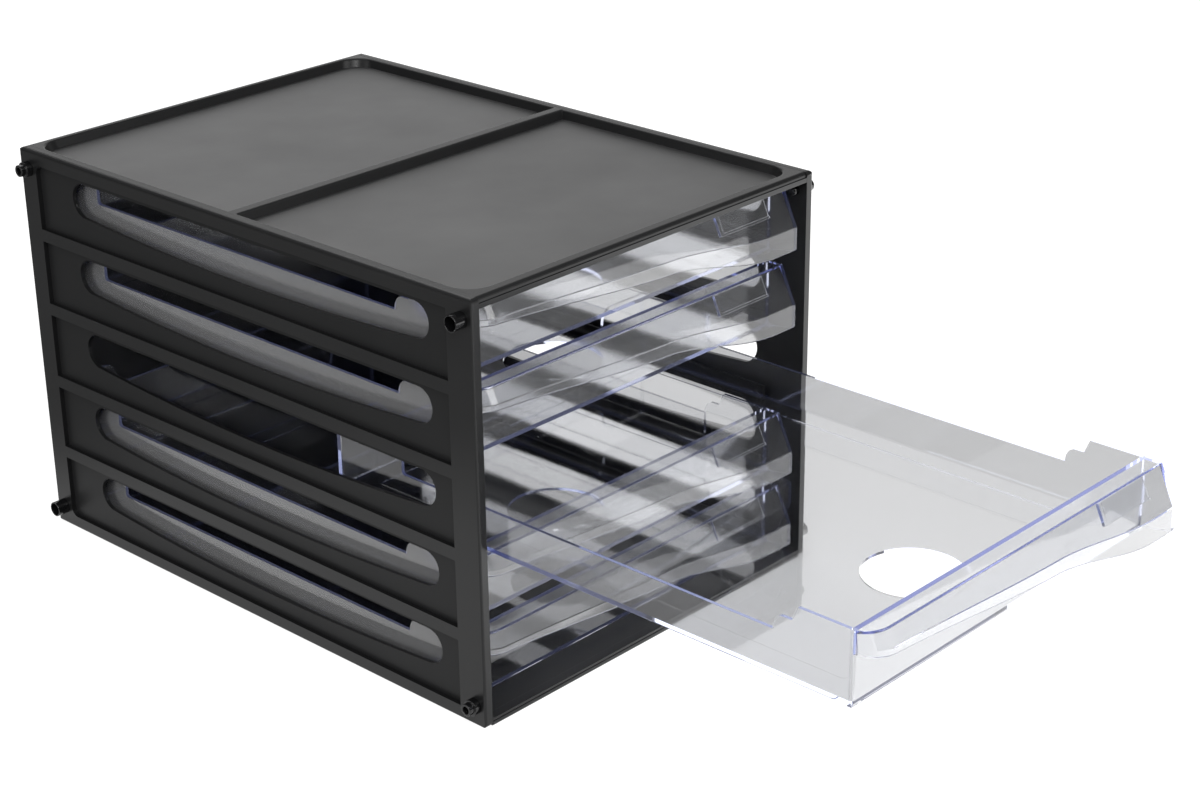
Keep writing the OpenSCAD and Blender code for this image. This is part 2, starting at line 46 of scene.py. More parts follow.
# how far a face's normal points along an axis, at the least, to be picked by it
square, facing, slanting, leaning = 0.99, 0.9, 0.5, 0.3
print("frame loaded,", len(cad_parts), "nodes")


# Camera at the photograph's place; lens and sensor in millimetres
camera = {
    "place": (-0.9433, -1.0383, 0.7042), "azimuth": -46.88, "elevation": 23.487, "roll": -0.706,
    "lens": 73.4, "sensor": 36, "near": 0.01,
}


def addCamera(look):
    data = bpy.data.cameras.new("photoCamera")
    data.sensor_width = look["sensor"]
    data.lens = look["lens"]
    data.clip_start = look["near"]
    holder = bpy.data.objects.new("photoCamera", data)
    bpy.context.scene.collection.objects.link(holder)
    turn = (
        Matrix.Rotation(radians(look["azimuth"]), 3, "Z")
        @ Matrix.Rotation(radians(90 - look["elevation"]), 3, "X")
        @ Matrix.Rotation(radians(look["roll"]), 3, "Z")
    )
    holder.location = look["place"]
    holder.rotation_euler = turn.to_euler()
    bpy.context.scene.camera = holder


addCamera(camera)
print("camera set")


# Small tools for modelling by hand
def selectOnly(piece):
    if bpy.context.object and bpy.context.object.mode != "OBJECT":
        bpy.ops.object.mode_set(mode="OBJECT")
    bpy.ops.object.select_all(action="DESELECT")
    piece.select_set(True)
    bpy.context.view_layer.objects.active = piece


def startPiece():
    if bpy.context.object and bpy.context.object.mode != "OBJECT":
        bpy.ops.object.mode_set(mode="OBJECT")
    bpy.ops.object.select_all(action="DESELECT")


def settle(piece, name):
    # the place goes into the mesh, and the object stays at the origin
    selectOnly(piece)
    bpy.ops.object.transform_apply(location=True, rotation=True, scale=True)
    piece.name = name
    piece.data.name = name
    return piece


def addBlock(name, low, high):
    startPiece()
    low, high = Vector(low), Vector(high)
    bpy.ops.mesh.primitive_cube_add(size=1, location=(low + high) / 2, scale=high - low)
    return settle(bpy.context.object, name)


def addPrism(name, outline, axis, start, end):
    # a filled ring whose points take the outline's places, extruded along one axis
    startPiece()
    bpy.ops.mesh.primitive_circle_add(vertices=len(outline), fill_type="NGON")
    piece = bpy.context.object
    slots = {"x": (1, 2), "y": (0, 2), "z": (0, 1)}[axis]
    along = "xyz".index(axis)
    for vertex, point in zip(piece.data.vertices, outline):
        vertex.co[along] = start
        vertex.co[slots[0]], vertex.co[slots[1]] = point
    step = Vector((0, 0, 0))
    step[along] = end - start
    bpy.ops.object.mode_set(mode="EDIT")
    bpy.ops.mesh.select_all(action="SELECT")
    bpy.ops.mesh.extrude_region_move(TRANSFORM_OT_translate={"value": step})
    bpy.ops.mesh.select_all(action="SELECT")
    bpy.ops.mesh.normals_make_consistent(inside=False)
    bpy.ops.object.mode_set(mode="OBJECT")
    return settle(piece, name)


def shapeWith(piece, tool, operation):
    # DIFFERENCE cuts with the tool, UNION joins it, INTERSECT keeps what both fill
    selectOnly(piece)
    change = piece.modifiers.new("shape", "BOOLEAN")
    change.object = tool
    change.operation = operation
    change.solver = "EXACT"
    bpy.ops.object.modifier_apply(modifier=change.name)
    bpy.data.objects.remove(tool)
    return piece


def applyModifier(piece, kind, **settings):
    selectOnly(piece)
    change = piece.modifiers.new(kind.lower(), kind)
    for name, value in settings.items():
        setattr(change, name, value)
    bpy.ops.object.modifier_apply(modifier=change.name)


def softenEdges(piece, width, segments=2, angle=32):
    applyModifier(
        piece, "BEVEL", limit_method="ANGLE", angle_limit=radians(angle), width=width,
        segments=segments, miter_outer="MITER_ARC", use_clamp_overlap=True,
    )


def finishSurface(piece, angle=38):
    selectOnly(piece)
    bpy.ops.object.mode_set(mode="EDIT")
    bpy.ops.mesh.select_all(action="SELECT")
    bpy.ops.mesh.remove_doubles(threshold=weld)
    bpy.ops.mesh.dissolve_degenerate(threshold=weld / 2)
    bpy.ops.object.mode_set(mode="OBJECT")
    bpy.ops.object.shade_smooth_by_angle(angle=radians(angle))
    applyModifier(piece, "WEIGHTED_NORMAL", keep_sharp=True, weight=80)


def arc(centre, radius, start, end, steps=8):
    turns = [radians(start + (end - start) * i / steps) for i in range(steps + 1)]
    return [(centre[0] + radius * cos(t), centre[1] + radius * sin(t)) for t in turns]


def fillet(before, corner, after, radius, steps=5):
    # points of a rounding in a corner of a path
    a, b, c = Vector(before), Vector(corner), Vector(after)
    p, q = (a - b).normalized(), (c - b).normalized()
    half = p.angle(q) / 2
    centre = b + (p + q).normalized() * radius / sin(half)
    start, end = b + p * radius / tan(half) - centre, b + q * radius / tan(half) - centre
    sweep = start.angle(end)
    points = []
    for i in range(steps + 1):
        t = i / steps
        points.append(tuple(centre + (start * sin(sweep * (1 - t)) + end * sin(sweep * t)) / sin(sweep)))
    return points


def copyPiece(piece, name, move):
    twin = piece.copy()
    twin.data = piece.data.copy()
    twin.name = name
    twin.data.name = name
    bpy.context.scene.collection.objects.link(twin)
    twin.data.transform(Matrix.Translation(move))
    return twin


# Finishes: rough is the span of the roughness, and grain, drift and wave are scales of noises
satinBlack = {
    "colour": (0.0068, 0.0069, 0.0072, 1), "rough": (0.28, 0.35), "ior": 1.5, "specular": 0.3,
    "grain": 1400, "grainDetail": 3, "grainDepth": 0.1 * mm, "bump": 0.05,
    "drift": 14, "driftDetail": 4, "paler": 1.35,
}
trayBlack = dict(
    satinBlack, colour=(0.016, 0.0162, 0.0166, 1), rough=(0.36, 0.46), specular=0.5, grain=1800, bump=0.09,
)
rimBlack = dict(satinBlack, colour=(0.014, 0.0142, 0.0146, 1), rough=(0.22, 0.28), specular=0.12, bump=0.03)
glossBlack = dict(
    satinBlack, colour=(0.004, 0.004, 0.0044, 1), rough=(0.08, 0.14), specular=0.4, grain=900, bump=0.02,
)
# the bays' finish is rougher and reflects less than the frame's, so that the recessed bays render darker:
# partly painted shade
bayBlack = dict(satinBlack, colour=(0.011, 0.0111, 0.0114, 1), rough=(0.34, 0.42), specular=0.13)
clearPlastic = {
    "colour": (0.95, 0.955, 0.965, 1), "rough": (0.01, 0.035), "ior": 1.56, "clearness": 1,
    "wave": 22, "waveDepth": 1 * mm, "bump": 0.02, "tint": (0.38, 0.42, 0.8, 1), "tintDensity": 6,
    # the edge glow is a painted pale blue glow for rays mirrored more than edgeDepth times inside the
    # plastic
    "edgeDepth": 3.5, "edgeGlow": (0.1, 0.11, 0.18, 1), "edgeTint": (0.8, 0.83, 0.95, 1), "edgeShare": 0.7,
}
brushedClear = dict(clearPlastic, rough=(0.06, 0.1), bump=0.03)
# a partly diffuse clear finish, laid only on the drawers' left walls so that they render paler through the
# casing's slots: painted light
slotLightHazeClear = dict(clearPlastic, rough=(0.04, 0.08), clearness=0.85)
# a milky clear finish for the label holders' rounded edges, which makes them show as pale lines: painted
# highlights
paleEdgeHighlightClear = dict(clearPlastic, rough=(0.3, 0.4), bump=0.03, clearness=0.35)
noiseSpan = (0.3, 0.7)  # where most values of a noise lie


def startMaterial(name):
    material = bpy.data.materials.new(name)
    material.use_nodes = True
    tree = material.node_tree
    shader = tree.nodes["Principled BSDF"]
    place = tree.nodes.new("ShaderNodeTexCoord")
    return material, tree, shader, place.outputs["Object"]


def addNoise(tree, place, scale, detail=2):
    noise = tree.nodes.new("ShaderNodeTexNoise")
    noise.inputs["Scale"].default_value = scale
    noise.inputs["Detail"].default_value = detail
    tree.links.new(place, noise.inputs["Vector"])
    return noise.outputs["Fac"]


def addRange(tree, value, low, high):
    spread = tree.nodes.new("ShaderNodeMapRange")
    spread.inputs["From Min"].default_value = noiseSpan[0]
    spread.inputs["From Max"].default_value = noiseSpan[1]
    spread.inputs["To Min"].default_value = low
    spread.inputs["To Max"].default_value = high
    tree.links.new(value, spread.inputs["Value"])
    return spread.outputs["Result"]


def addBump(tree, height, strength, distance):
    bump = tree.nodes.new("ShaderNodeBump")
    bump.inputs["Strength"].default_value = strength
    bump.inputs["Distance"].default_value = distance
    tree.links.new(height, bump.inputs["Height"])
    return bump.outputs["Normal"]


def mouldedBlack(name, look):
    # moulded plastic: a fine grain in the surface, and a gloss that drifts a little over the part
    material, tree, shader, place = startMaterial(name)
    shader.inputs["IOR"].default_value = look["ior"]
    shader.inputs["Specular IOR Level"].default_value = look["specular"]
    drift = addNoise(tree, place, look["drift"], look["driftDetail"])
    tone = tree.nodes.new("ShaderNodeMix")
    tone.data_type = "RGBA"
    tone.inputs["A"].default_value = look["colour"]
    tone.inputs["B"].default_value = tuple(c * look["paler"] for c in look["colour"][:3]) + (1,)
    tree.links.new(drift, tone.inputs["Factor"])
    tree.links.new(tone.outputs["Result"], shader.inputs["Base Color"])
    tree.links.new(addRange(tree, drift, *look["rough"]), shader.inputs["Roughness"])
    grain = addNoise(tree, place, look["grain"], look["grainDetail"])
    tree.links.new(addBump(tree, grain, look["bump"], look["grainDepth"]), shader.inputs["Normal"])
    return material


def mouldedClear(name, look):
    # clear polystyrene: bends light, lets lamps through, and turns blue where light runs along a wall;
    # where a ray has been mirrored more than a few times inside the plastic, mostly at the walls' edges, a
    # painted pale blue glow stands in for the trapped light, and the rest passes on tinted blue
    material, tree, shader, place = startMaterial(name)
    shader.inputs["Base Color"].default_value = look["colour"]
    shader.inputs["Transmission Weight"].default_value = look["clearness"]
    shader.inputs["IOR"].default_value = look["ior"]
    wave = addNoise(tree, place, look["wave"])
    tree.links.new(addRange(tree, wave, *look["rough"]), shader.inputs["Roughness"])
    tree.links.new(addBump(tree, wave, look["bump"], look["waveDepth"]), shader.inputs["Normal"])
    path = tree.nodes.new("ShaderNodeLightPath")
    trapped = tree.nodes.new("ShaderNodeMath")
    trapped.operation = "GREATER_THAN"
    trapped.inputs[1].default_value = look["edgeDepth"]
    tree.links.new(path.outputs["Glossy Depth"], trapped.inputs[0])
    # painted glow: an emission for rays mirrored many times inside the plastic
    edgeGlow = tree.nodes.new("ShaderNodeEmission")
    edgeGlow.inputs["Color"].default_value = look["edgeGlow"]
    escape = tree.nodes.new("ShaderNodeBsdfTransparent")
    escape.inputs["Color"].default_value = look["edgeTint"]
    leak = tree.nodes.new("ShaderNodeMixShader")
    leak.inputs["Fac"].default_value = look["edgeShare"]
    tree.links.new(edgeGlow.outputs["Emission"], leak.inputs[1])
    tree.links.new(escape.outputs["BSDF"], leak.inputs[2])
    edges = tree.nodes.new("ShaderNodeMixShader")
    tree.links.new(trapped.outputs["Value"], edges.inputs["Fac"])
    tree.links.new(shader.outputs["BSDF"], edges.inputs[1])
    tree.links.new(leak.outputs["Shader"], edges.inputs[2])
    through = tree.nodes.new("ShaderNodeBsdfTransparent")
    through.inputs["Color"].default_value = look["colour"]
    mix = tree.nodes.new("ShaderNodeMixShader")
    tree.links.new(path.outputs["Is Shadow Ray"], mix.inputs["Fac"])
    tree.links.new(edges.outputs["Shader"], mix.inputs[1])
    tree.links.new(through.outputs["BSDF"], mix.inputs[2])
    output = tree.nodes["Material Output"]
    tree.links.new(mix.outputs["Shader"], output.inputs["Surface"])
    tint = tree.nodes.new("ShaderNodeVolumeAbsorption")
    tint.inputs["Color"].default_value = look["tint"]
    tint.inputs["Density"].default_value = look["tintDensity"]
    tree.links.new(tint.outputs["Volume"], output.inputs["Volume"])
    return material


satin = mouldedBlack("satinBlackPlastic", satinBlack)
trayGrain = mouldedBlack("grainedBlackPlastic", trayBlack)
gloss = mouldedBlack("glossBlackPlastic", glossBlack)
rimGloss = mouldedBlack("rimBlackPlastic", rimBlack)
bayShadeBlack = mouldedBlack("bayBlackPlastic", bayBlack)
clear = mouldedClear("clearPlastic", clearPlastic)
brushed = mouldedClear("brushedClearPlastic", brushedClear)
slotLightHaze = mouldedClear("hazedClearPlastic", slotLightHazeClear)
paleEdgeHighlight = mouldedClear("frostedClearPlastic", paleEdgeHighlightClear)


def dress(piece, material, body, slot, *nodes):
    # a piece gets its material, the body that it rides on and the nodes that it stands for
    piece.data.materials.clear()
    piece.data.materials.append(material)
    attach(piece, body)
    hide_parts(*nodes)


print("finishes made")

# Sizes that several pieces share, most of them from the frame
levels = 5
openLevel = 3
panelGap = 0.1 * mm  # between the top panel and a side panel
topLow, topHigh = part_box("top_panel")
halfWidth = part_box("side_panel_right")[1].x
frontY, backY = topLow.y, topHigh.y
bodyHeight = topHigh.z
innerX = topHigh.x + panelGap
drawerLow = {n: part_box(f"drawer_{n}")[0] for n in range(1, levels + 1)}
drawerHigh = {n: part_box(f"drawer_{n}")[1] for n in range(1, levels + 1)}
pitch = drawerHigh[1].z - drawerHigh[2].z
nibHeight = 1.5 * mm
firstZ = drawerLow[levels].z + nibHeight  # underside of the lowest drawer
drawerX = drawerHigh[1].x


# Side panels: outline, five recessed bays, five slots, runner ledges and guide strips
sidePanel = {
    "corner": 3 * mm, "topEdge": 2.5 * mm, "upright": 1.5 * mm, "edge": 0.35 * mm,
    "bayWall": 2.5 * mm, "bayFront": 19.5 * mm, "bayBack": 15.5 * mm, "bayRib": 7.8 * mm,
    "bayRise": 1.3 * mm, "bayRound": 5.5 * mm, "slotFront": 35.7 * mm, "slotBack": 47.5 * mm,
    "slotHeight": 21.8 * mm, "slotBow": 5.7 * mm, "slotDrop": 3.5 * mm, "endSteps": 16, "bowSteps": 40,
}
runner = {
    "thick": 2.5 * mm, "under": 4.8 * mm, "guideHeight": 8 * mm, "guideThick": 1.6 * mm, "play": 0.8 * mm,
    "gap": 0.3 * mm, "front": 25.5 * mm, "back": 16 * mm, "root": 0.5 * mm, "guideInset": 0.05 * mm,
}


def slotOutline(zHigh, size):
    # round ends, a straight upper edge and a lower edge that bows down
    y0, y1, zLow = frontY + size["slotFront"], backY - size["slotBack"], zHigh - size["slotHeight"]
    bow, ends, steps = size["slotBow"], size["endSteps"], size["bowSteps"]
    r = (zHigh - zLow) / 2
    zMid = (zHigh + zLow) / 2
    chord = (y1 - r) - (y0 + r)
    bowRadius = chord * chord / (8 * bow) + bow / 2
    half = atan2(chord / 2, bowRadius - bow)
    points = arc((y0 + r, zMid), r, 90, 270, ends)
    for i in range(1, steps):
        t = -half + 2 * half * i / steps
        points.append(((y0 + y1) / 2 + bowRadius * sin(t), zLow - bow + bowRadius * (1 - cos(t))))
    return points + arc((y1 - r, zMid), r, -90, 90, ends)


def bayOutline(level, size):
    y0, y1 = frontY + size["bayFront"], backY - size["bayBack"]
    z0 = firstZ + level * pitch + size["bayRise"]
    z1 = z0 + pitch - size["bayRib"]
    r = size["bayRound"]
    low = arc((y1 - r, z0 + r), r, 270, 360) if level == 0 else [(y1, z0)]
    high = arc((y1 - r, z1 - r), r, 0, 90) if level == levels - 1 else [(y1, z1)]
    return [(y0, z1), (y0, z0)] + low + high


def makeSidePanel(size, rail):
    x0, x1 = innerX, halfWidth
    r, top, upright = size["corner"], size["topEdge"], size["upright"]
    outline = (
        arc((frontY + r, r), r, 270, 180) + arc((frontY + r, bodyHeight - r), r, 180, 90)
        + arc((backY - r, bodyHeight - r), r, 90, 0) + arc((backY - r, r), r, 0, -90)
    )
    panel = addPrism("sidePanelRight", outline, "x", x0, x1)
    section = (
        [(x0 - mm, -mm), (x0 - mm, bodyHeight + mm), (x1 - top, bodyHeight + mm)]
        + arc((x1 - top, bodyHeight - top), top, 90, 0) + arc((x1 - upright, upright), upright, 0, -90)
        + [(x1 - upright, -mm)]
    )
    plan = (
        [(x0 - mm, backY + mm), (x0 - mm, frontY - mm), (x1 - upright, frontY - mm)]
        + arc((x1 - upright, frontY + upright), upright, -90, 0)
        + arc((x1 - upright, backY - upright), upright, 0, 90) + [(x1 - upright, backY + mm)]
    )
    shapeWith(panel, addPrism("sectionTool", section, "y", frontY - mm, backY + mm), "INTERSECT")
    shapeWith(panel, addPrism("planTool", plan, "z", -mm, bodyHeight + mm), "INTERSECT")
    inset, guideX = rail["guideInset"], drawerX + rail["play"]
    for level in range(levels):
        ledgeTop = firstZ + level * pitch - rail["gap"]
        ledge = addBlock(
            "ledge", (drawerX - rail["under"], frontY + rail["front"], ledgeTop - rail["thick"]),
            (x0 + rail["root"], backY - rail["back"], ledgeTop),
        )
        guide = addBlock(
            "guide", (guideX, frontY + rail["front"] + inset, ledgeTop - rail["thick"] / 2),
            (guideX + rail["guideThick"], backY - rail["back"] - inset, ledgeTop + rail["guideHeight"]),
        )
        shapeWith(panel, shapeWith(ledge, guide, "UNION"), "UNION")
    for level in range(levels):
        bay = bayOutline(level, size)
        shapeWith(panel, addPrism("bayTool", bay, "x", x0 + size["bayWall"], x1 + mm), "DIFFERENCE")
        slot = slotOutline(max(z for y, z in bay) - size["slotDrop"], size)
        shapeWith(panel, addPrism("slotTool", slot, "x", x0 - mm, x1 + mm), "DIFFERENCE")
    softenEdges(panel, size["edge"])
    return panel


def mirrorPiece(piece, name):
    twin = copyPiece(piece, name, (0, 0, 0))
    twin.data.transform(Matrix.Scale(-1, 4, (1, 0, 0)))
    selectOnly(twin)
    bpy.ops.object.mode_set(mode="EDIT")
    bpy.ops.mesh.select_all(action="SELECT")
    bpy.ops.mesh.remove_doubles(threshold=weld)
    bpy.ops.mesh.normals_make_consistent(inside=False)
    bpy.ops.object.mode_set(mode="OBJECT")
    return twin


def coatFaces(piece, material, pick):
    # a second finish on the faces that pick chooses
    piece.data.materials.append(material)
    for face in piece.data.polygons:
        if pick(face):
            face.material_index = len(piece.data.materials) - 1


panelRight = makeSidePanel(sidePanel, runner)
panelLeft = mirrorPiece(panelRight, "sidePanelLeft")
bayX, rimFrom = innerX + sidePanel["bayWall"], bodyHeight - sidePanel["topEdge"]
for panel, node in ((panelRight, "side_panel_right"), (panelLeft, "side_panel_left")):
    finishSurface(panel)
    dress(panel, satin, "casing", "satin_black_casing", node)
    coatFaces(panel, rimGloss, lambda face: face.normal.z > slanting and face.center.z > rimFrom)
    # the recessed bay faces get the finish that reflects less: partly painted shade
    coatFaces(
        panel, bayShadeBlack, lambda face: abs(face.normal.x) > facing and abs(abs(face.center.x) - bayX) < touch
    )
print("side panels made")


# Top panel: hollow front rim, two tray fields with a rib between them
topPanel = {
    "thick": 9 * mm, "trayDepth": 5.6 * mm, "trayLean": 1.6 * mm, "trayRound": 15 * mm, "traySteps": 12,
    "rimSide": 7.8 * mm, "rimFront": 8.7 * mm, "rimBack": 5.5 * mm, "rimWall": 2 * mm,
    "rimRound": 1.3 * mm, "rimSteps": 4, "fieldFront": 187 * mm, "fieldRib": 7.5 * mm,
    "fascia": 6.2 * mm, "fasciaRound": 2.4 * mm, "frontRound": 3 * mm,
    "ledgeDrop": 3.2 * mm, "ledge": 0.8 * mm, "edge": 0.2 * mm,
}


def makeTopPanel(size):
    x = halfWidth - size["rimSide"]
    half = topHigh.x
    r, wall, z1 = size["frontRound"], size["rimWall"], bodyHeight
    underZ = z1 - size["thick"]
    rimY = frontY + size["rimFront"]
    rimZ = z1 - wall - r / 2
    setBack, ledgeZ, small = frontY + size["ledge"], z1 - size["ledgeDrop"], size["fasciaRound"]
    section = (
        [(frontY, z1 - size["fascia"]), (frontY, ledgeZ), (setBack, ledgeZ)]
        + arc((setBack + small, z1 - small), small, 180, 90) + arc((backY - r, z1 - r), r, 90, 0)
        + [(backY, underZ), (rimY - wall, underZ), (rimY - wall, rimZ), (frontY + wall + r / 2, rimZ)]
        + [(frontY + wall, z1 - size["fascia"])]
    )
    panel = addPrism("topPanel", section, "x", -half, half)
    y0, y1 = rimY, rimY + size["fieldFront"]
    y2, y3 = y1 + size["fieldRib"], backY - size["rimBack"]
    t, steps = size["trayRound"], size["traySteps"]
    frontField = (
        arc((-x + t, y0 + t), t, 180, 270, steps) + arc((x - t, y0 + t), t, 270, 360, steps)
        + [(x, y1), (-x, y1)]
    )
    backField = (
        [(-x, y2), (x, y2)] + arc((x - t, y3 - t), t, 0, 90, steps)
        + arc((-x + t, y3 - t), t, 90, 180, steps)
    )
    trayZ = z1 - size["trayDepth"]
    for field in (frontField, backField):
        tool = addPrism("trayTool", field, "z", trayZ, z1)
        ys = [point[1] for point in field]
        midY, halfY = (max(ys) + min(ys)) / 2, (max(ys) - min(ys)) / 2
        for vertex in tool.data.vertices:
            if vertex.co.z < z1 - mm:
                vertex.co.x *= 1 - size["trayLean"] / x
                vertex.co.y = midY + (vertex.co.y - midY) * (1 - size["trayLean"] / halfY)
        shapeWith(panel, tool, "DIFFERENCE")

    def onRim(v):
        inside = abs(v.co.z - z1) < same and abs(v.co.x) < x + same
        return inside and y0 - same < v.co.y < y3 + same

    # the rims' inner edges are rounder than the rest
    selectOnly(panel)
    bpy.ops.object.mode_set(mode="EDIT")
    bpy.ops.mesh.select_all(action="DESELECT")
    bpy.ops.object.mode_set(mode="OBJECT")
    for edge in panel.data.edges:
        edge.select = all(onRim(panel.data.vertices[i]) for i in edge.vertices)
    bpy.ops.object.mode_set(mode="EDIT")
    bpy.ops.mesh.select_mode(type="EDGE")
    bpy.ops.mesh.bevel(offset=size["rimRound"], segments=size["rimSteps"], affect="EDGES")
    bpy.ops.object.mode_set(mode="OBJECT")
    softenEdges(panel, size["edge"])
    return panel, trayZ


top, trayZ = makeTopPanel(topPanel)
finishSurface(top)
dress(top, satin, "casing", "satin_black_casing", "top_panel")
coatFaces(top, trayGrain, lambda face: face.normal.z > square and abs(face.center.z - trayZ) < touch)
coatFaces(top, rimGloss, lambda face: face.normal.z > slanting and face.center.z > trayZ + mm)
ledgeZ = bodyHeight - topPanel["ledgeDrop"]
coatFaces(
    top, gloss, lambda face: face.normal.z > leaning
    and face.center.y < frontY + mm and face.center.z < ledgeZ + touch,
)
print("top panel made")


# Bottom panel: plate with a grooved lip along its front
bottomPanel = {
    "thick": 3.6 * mm, "lipDepth": 6 * mm, "lipHeight": 5 * mm, "groove": 0.6 * mm, "edge": 0.3 * mm,
}


def makeBottomPanel(size):
    half, groove, lip, thick = topHigh.x, size["groove"], size["lipHeight"], size["thick"]
    z = (lip + groove) / 2
    grooveY, lipY = frontY + groove, frontY + size["lipDepth"]
    section = [
        (frontY, groove), (frontY, z), (grooveY, z), (grooveY, z + groove), (frontY, z + groove),
        (frontY, lip), (lipY, lip), (lipY, thick), (backY, thick), (backY, 0), (grooveY, 0),
    ]
    panel = addPrism("bottomPanel", section, "x", -half, half)
    softenEdges(panel, size["edge"])
    return panel


bottom = makeBottomPanel(bottomPanel)
finishSurface(bottom)
dress(bottom, satin, "casing", "satin_black_casing", "bottom_panel")


# Back panel, let into the side panels
backPanel = {"edge": 0.4 * mm}
back = addBlock("backPanel", *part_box("back_panel"))
softenEdges(back, backPanel["edge"])
finishSurface(back)
dress(back, satin, "casing", "satin_black_casing", "back_panel")
print("bottom and back panels made")


# Link pins: wide sleeves and stepped plugs, drawn along +X from a side panel's outer face
pin = {
    "collar": 9.6 * mm, "sleeveLength": 8 * mm, "bore": 8 * mm, "boreDepth": 7 * mm,
    "plugCollar": 4 * mm, "nose": 7.4 * mm, "noseLength": 3.2 * mm, "noseHole": 4.6 * mm,
    "noseDepth": 5.2 * mm, "shank": 5.4 * mm, "shankLength": 8.7 * mm, "flange": 6.4 * mm,
    "flangeThick": 1.2 * mm, "sides": 48, "edge": 0.25 * mm, "edgeSteps": 3, "edgeAngle": 40,
}


def pickCap(piece, sides, highest):
    # selects the flat cap at the far or the near end of a pin
    bpy.ops.object.mode_set(mode="EDIT")
    bpy.ops.mesh.select_mode(type="FACE")
    bpy.ops.mesh.select_all(action="DESELECT")
    bpy.ops.object.mode_set(mode="OBJECT")
    caps = [f for f in piece.data.polygons if len(f.vertices) == sides]
    cap = max(caps, key=lambda f: f.center.x) if highest else min(caps, key=lambda f: f.center.x)
    cap.select = True
    bpy.ops.object.mode_set(mode="EDIT")


def step(inset, push):
    bpy.ops.mesh.inset(thickness=inset)
    if push:
        bpy.ops.mesh.extrude_region_move(TRANSFORM_OT_translate={"value": (push, 0, 0)})


def makePin(name, size, plug):
    startPiece()
    length = size["plugCollar"] if plug else size["sleeveLength"]
    bpy.ops.mesh.primitive_cylinder_add(
        vertices=size["sides"], radius=size["collar"] / 2, depth=length,
        location=(length / 2, 0, 0), rotation=(0, pi / 2, 0),
    )
    piece = settle(bpy.context.object, name)
    pickCap(piece, size["sides"], True)
    if plug:
        step((size["collar"] - size["nose"]) / 2, size["noseLength"])
        step((size["nose"] - size["noseHole"]) / 2, -size["noseDepth"])
    else:
        step((size["collar"] - size["bore"]) / 2, -size["boreDepth"])
    bpy.ops.object.mode_set(mode="OBJECT")
    pickCap(piece, size["sides"], False)
    step((size["collar"] - size["shank"]) / 2, -size["shankLength"])
    wider, narrower = size["flange"] / size["shank"], size["shank"] / size["flange"]
    bpy.ops.mesh.extrude_region_move(TRANSFORM_OT_translate={"value": (0, 0, 0)})
    bpy.ops.transform.resize(value=(1, wider, wider))
    bpy.ops.mesh.extrude_region_move(TRANSFORM_OT_translate={"value": (-size["flangeThick"], 0, 0)})
    bpy.ops.transform.resize(value=(1, narrower, narrower))
    bpy.ops.object.mode_set(mode="OBJECT")
    softenEdges(piece, size["edge"], size["edgeSteps"], size["edgeAngle"])
    finishSurface(piece)
    return piece


sleeveModel = makePin("sleeveModel", pin, False)
plugModel = makePin("plugModel", pin, True)
for node in sorted(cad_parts):
    if node.split("_")[0] not in ("sleeve", "plug"):
        continue
    low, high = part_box(node)
    kind, sideName, height, depth = node.split("_")
    side = -1 if sideName == "left" else 1
    model = plugModel if kind == "plug" else sleeveModel
    name = kind + sideName.capitalize() + height.capitalize() + depth.capitalize()
    piece = copyPiece(model, name, (0, 0, 0))
    piece.data.transform(Matrix.Rotation(0 if side > 0 else pi, 4, "Z"))
    centre = (low + high) / 2
    piece.data.transform(Matrix.Translation((side * halfWidth, centre.y, centre.z)))
    dress(piece, gloss, "casing", "gloss_black_pin", node)
for model in (sleeveModel, plugModel):
    bpy.data.objects.remove(model)
print("link pins made")


# Drawers: one clear moulding, drawn with the front wall's outer face at y = 0 and the underside at z = 0
drawer = {
    "height": 41.5 * mm, "wall": 2 * mm, "floor": 2 * mm, "outerRound": 1.2 * mm, "innerRound": 1.5 * mm,
    "lowHeight": 24.7 * mm, "frontRaise": 34 * mm, "rearRaise": 54 * mm, "dipRound": 2 * mm,
    "stepLength": 15 * mm, "stepRound": 1 * mm, "shelfHeight": 0.52, "shelfFrom": 0.22, "shelfTo": 0.6,
    "backCorner": 38 * mm, "backLow": 26.5 * mm, "border": 15 * mm, "borderDrop": 0.4 * mm,
    "borderRound": 2 * mm, "fingerHole": 57 * mm, "fingerSet": 58 * mm, "fingerSides": 96,
    "nibWidth": 8 * mm, "nibDepth": 3 * mm, "nibInset": 0.05 * mm, "nibRoot": 0.5 * mm,
    "nibFront": 0.3 * mm, "edge": 0.25 * mm, "smooth": 34, "toolPast": 5 * mm,
}
pull = {
    "depth": 20.3 * mm, "strip": 9.7 * mm, "foldZ": 18.5 * mm, "low": 4 * mm, "high": 28.5 * mm,
    "shortLip": 3.5 * mm, "back": 2.05 * mm, "inset": 0.05 * mm, "fold": 1.2 * mm, "innerFold": 0.5 * mm,
    "rim": 0.5 * mm, "endRound": 0.3 * mm, "round": 15 * mm,
    "turns": (2, 6, 12, 18, 25, 32, 40, 48, 56, 64, 72, 80), "stations": 96,
    "waveAt": (0, 0.578, 0.927), "waveHeight": (1, 0.571, 0), "waveFall": (0.15, 0.225, 0),
}
drawerLength = drawerHigh[1].y - drawerLow[1].y - pull["depth"]
faceSlope = (pull["depth"] - pull["strip"]) / (drawer["height"] - pull["foldZ"])


def hermite(a, b, fallA, fallB, t):
    rise = a * (1 + t * t * (2 * t - 3)) + b * t * t * (3 - 2 * t)
    return rise - fallA * t * (1 - t) * (1 - t) + fallB * t * t * (1 - t)


def waveAt(u, size):
    # 1 at the shallow end, 0 at the deep end
    at, height, fall = size["waveAt"], size["waveHeight"], size["waveFall"]
    k = 0 if u < at[1] else 1
    span = at[k + 1] - at[k]
    t = min(1, (u - at[k]) / span)
    stretch = span / at[1]
    return hermite(height[k], height[k + 1], fall[k] * stretch, fall[k + 1] * stretch, t)


